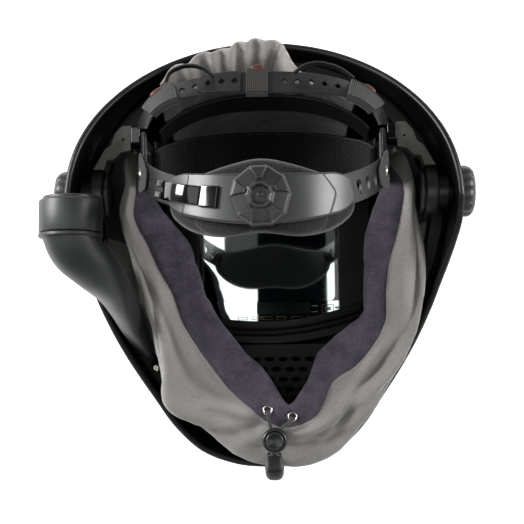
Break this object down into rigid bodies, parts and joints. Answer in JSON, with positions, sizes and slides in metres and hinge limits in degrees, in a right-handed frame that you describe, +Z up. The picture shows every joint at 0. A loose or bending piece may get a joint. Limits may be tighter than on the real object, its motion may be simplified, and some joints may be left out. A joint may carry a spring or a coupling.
{
  "type": "powered respirator welding helmet",
  "caption": "Powered respirator welding helmet lying face down: deep shell with darkening lens, ratchet headgear, cloth face seal with draw cord and side air duct.",
  "frame": {"origin": "on the surface that the helmet lies on, under the middle of its bounding box without the draw cord", "axes": "+Z up, out of the face side toward the back of the head; +Y toward the crown; +X across the head, away from the air duct"},
  "size_m": [0.2686, 0.2879, 0.2805],
  "materials": {
    "shell_nylon": "satin moulded nylon",
    "black_plastic": "satin moulded plastic",
    "cover_polycarbonate": "clear polished polycarbonate",
    "filter_glass": "dark polished filter glass",
    "duct_plastic": "satin moulded plastic",
    "arm_plastic": "fine textured moulded plastic",
    "strap_plastic": "flexible satin plastic",
    "ratchet_plastic": "smooth satin plastic",
    "knob_plastic": "satin moulded plastic",
    "gloss_plastic": "polished moulded plastic",
    "grey_twill": "woven flame retardant cotton",
    "cover_twill": "woven cotton",
    "fleece": "brushed fleece",
    "band_mesh": "padded knitted mesh",
    "ribbed_textile": "ribbed woven tape",
    "nickel": "plated steel",
    "cord_textile": "braided elastic cord"
  },
  "bodies": {
    "helmet": {"shell": "shell_nylon", "lens_bezel": "black_plastic", "filter_cartridge": "black_plastic", "cartridge_frame": "black_plastic", "seal_frame": "black_plastic", "outer_cover_lens": "cover_polycarbonate", "inner_cover_lens": "cover_polycarbonate", "filter_glass": "filter_glass", "chin_grille": "duct_plastic", "air_duct": "duct_plastic", "inlet_collar": "duct_plastic", "hub_right": "arm_plastic", "hub_left": "arm_plastic", "arm_right": "arm_plastic", "arm_left": "arm_plastic", "side_plate_right": "strap_plastic", "side_plate_left": "strap_plastic", "rear_band_right": "strap_plastic", "rear_band_left": "strap_plastic", "front_band": "strap_plastic", "crown_strap_rear_right": "strap_plastic", "crown_strap_rear_left": "strap_plastic", "crown_strap_front": "strap_plastic", "ratchet_housing": "ratchet_plastic", "control_panel": "gloss_plastic", "slide_block_right": "gloss_plastic", "slide_block_left": "gloss_plastic", "band_clip": "gloss_plastic", "cord_lock": "gloss_plastic", "cord_end": "gloss_plastic", "face_seal": "grey_twill", "head_cover": "cover_twill", "fleece_edge": "fleece", "sweatband": "band_mesh", "rear_pad": "band_mesh", "snap_tab_right": "ribbed_textile", "snap_tab_left": "ribbed_textile", "crown_sleeve": "ribbed_textile", "sleeve_right": "ribbed_textile", "sleeve_left": "ribbed_textile", "duct_screw": "nickel", "grommet_left": "nickel", "grommet_right": "nickel", "draw_cord_left": "cord_textile", "draw_cord_right": "cord_textile"},
    "right_knob": {"pivot_knob_right": "knob_plastic"},
    "left_knob": {"pivot_knob_left": "knob_plastic"},
    "ratchet": {"ratchet_knob": "knob_plastic"},
    "lock_button": {"cord_lock_button": "gloss_plastic"}
  },
  "joints": [
    {"name": "pivot_knob_right_turn", "type": "hinge", "parent": "helmet", "child": "right_knob", "pos_m": [0.12325, 0.03976, 0.16], "axis": [1, 0, 0], "continuous": true},
    {"name": "pivot_knob_left_turn", "type": "hinge", "parent": "helmet", "child": "left_knob", "pos_m": [-0.12275, 0.03976, 0.16], "axis": [-1, 0, 0], "continuous": true},
    {"name": "ratchet_knob_turn", "type": "hinge", "parent": "helmet", "child": "ratchet", "pos_m": [0.00025, 0.02176, 0.27], "axis": [0, 0, 1], "continuous": true},
    {"name": "cord_lock_press", "type": "slide", "parent": "helmet", "child": "lock_button", "axis": [0, 0, -1], "range_m": [0, 0.003], "stiffness_N_per_m": 150, "springref_m": -0.002}
  ]
}
